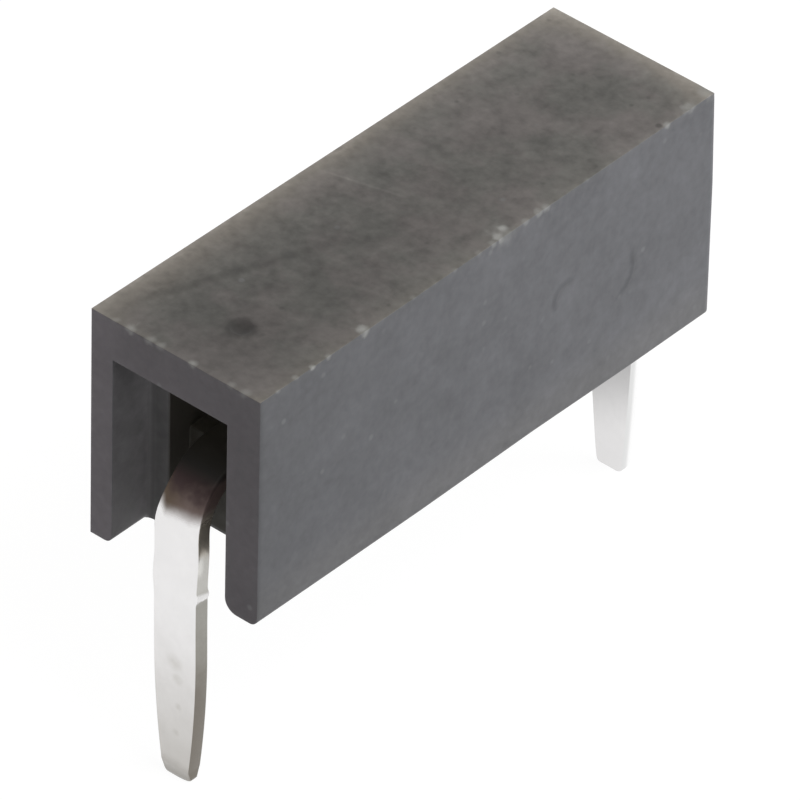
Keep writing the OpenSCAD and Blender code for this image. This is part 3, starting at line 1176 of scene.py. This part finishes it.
def pale_floor():
    """White paper that glows a little, and is clear from below."""
    material, tree = new_material("pale_floor")
    paper = node(tree, "ShaderNodeBsdfDiffuse", {"Color": floor_grey})
    glow = node(tree, "ShaderNodeEmission", {"Color": (1, 1, 1, 1), "Strength": floor_white})
    share = calc(tree, "MULTIPLY", seen_rays(tree), floor_glow)
    top = node(tree, "ShaderNodeMixShader", {"Fac": share})
    tree.links.new(paper.outputs[0], top.inputs[1])
    tree.links.new(glow.outputs[0], top.inputs[2])
    under = node(tree, "ShaderNodeBsdfTransparent")
    side = node(tree, "ShaderNodeNewGeometry")
    both = node(tree, "ShaderNodeMixShader", {"Fac": side.outputs["Backfacing"]})
    tree.links.new(top.outputs[0], both.inputs[1])
    tree.links.new(under.outputs[0], both.inputs[2])
    node(tree, "ShaderNodeOutputMaterial", {"Surface": both.outputs[0]})
    return material


# Stage: floor, light and camera

floor_glow = 0.85
floor_white = 1.1
floor_grey = (0.86, 0.86, 0.86, 1)
floor_reach = 2000
sky_light = 0.5
sky_stops = ((0.0, 1.0), (0.5, 1.0), (0.62, 0.12), (1.0, 0.10))
lamp_distance = 160
lamp_size = 160
right_power = 0.165
right_colour = (0.97, 0.99, 1.0)
top_power = 0.10
top_colour = (1.0, 0.97, 0.93)


def make_floor():
    """A wide floor at the height of the leg tips."""
    outline = [(-floor_reach, -floor_reach), (floor_reach, -floor_reach)]
    outline += [(floor_reach, floor_reach), (-floor_reach, floor_reach)]
    mesh = bpy.data.meshes.new("floor")
    mesh.from_pydata([(x * MM, y * MM, -leg_reach * MM) for x, y in outline], [], [(0, 1, 2, 3)])
    mesh.materials.append(pale_floor())
    floor = bpy.data.objects.new("floor", mesh)
    bpy.context.collection.objects.link(floor)


def make_sky():
    """White walls round a dim ceiling: full strength where mirrored, less as a light."""
    world = bpy.data.worlds.new("studio")
    bpy.context.scene.world = world
    world.use_nodes = True
    tree = world.node_tree
    tree.nodes.clear()
    source = node(tree, "ShaderNodeTexCoord")
    rise = node(tree, "ShaderNodeSeparateXYZ", {"Vector": source.outputs["Generated"]}).outputs["Z"]
    shade = ramp(tree, rise, [(place, (grey, grey, grey)) for place, grey in sky_stops])
    level = calc(tree, "MULTIPLY_ADD", seen_rays(tree), 1 - sky_light, sky_light)
    sky = node(tree, "ShaderNodeBackground", {"Color": shade, "Strength": level})
    node(tree, "ShaderNodeOutputWorld", {"Surface": sky.outputs[0]})


def direction(azimuth, elevation):
    """Unit vector from the object towards a direction, as the camera's angles count it."""
    turn = math.radians(azimuth)
    rise = math.radians(elevation)
    flat = math.cos(rise)
    return Vector((math.sin(turn) * flat, -math.cos(turn) * flat, math.sin(rise)))


def softbox(name, azimuth, elevation, power, colour):
    """A square lamp that faces the object from a direction."""
    lamp = bpy.data.lights.new(name, "AREA")
    lamp.shape = "SQUARE"
    lamp.size = lamp_size * MM
    lamp.energy = power
    lamp.color = colour
    holder = bpy.data.objects.new(name, lamp)
    back = direction(azimuth, elevation)
    holder.location = back * lamp_distance * MM
    holder.rotation_mode = "QUATERNION"
    holder.rotation_quaternion = (-back).to_track_quat("-Z", "Y")
    bpy.context.collection.objects.link(holder)


camera_target = (0, -0.061, 0.363)
camera_distance = 137.39
camera_azimuth = 40.53
camera_elevation = 37.98
camera_roll = 1.454
camera_lens = 540
camera_sensor = 36


def make_camera():
    """The camera at the photo's angle."""
    data = bpy.data.cameras.new("camera")
    data.sensor_fit = "HORIZONTAL"
    data.sensor_width = camera_sensor
    data.lens = camera_lens
    data.clip_start = 0.001
    data.clip_end = 10
    camera = bpy.data.objects.new("camera", data)
    back = direction(camera_azimuth, camera_elevation)
    camera.location = (Vector(camera_target) + back * camera_distance) * MM
    camera.rotation_mode = "QUATERNION"
    roll = Quaternion((0, 0, 1), math.radians(camera_roll))
    camera.rotation_quaternion = (-back).to_track_quat("-Z", "Y") @ roll
    bpy.context.collection.objects.link(camera)
    bpy.context.scene.camera = camera


put_in_place(make_housing(), "housing", plastic())
put_in_place(make_contact(), "contact", tinned_metal())
make_floor()
make_sky()
softbox("right_light", azimuth=103, elevation=37, power=right_power, colour=right_colour)
softbox("top_light", azimuth=75, elevation=78, power=top_power, colour=top_colour)
make_camera()
bpy.context.scene.view_settings.view_transform = "Standard"
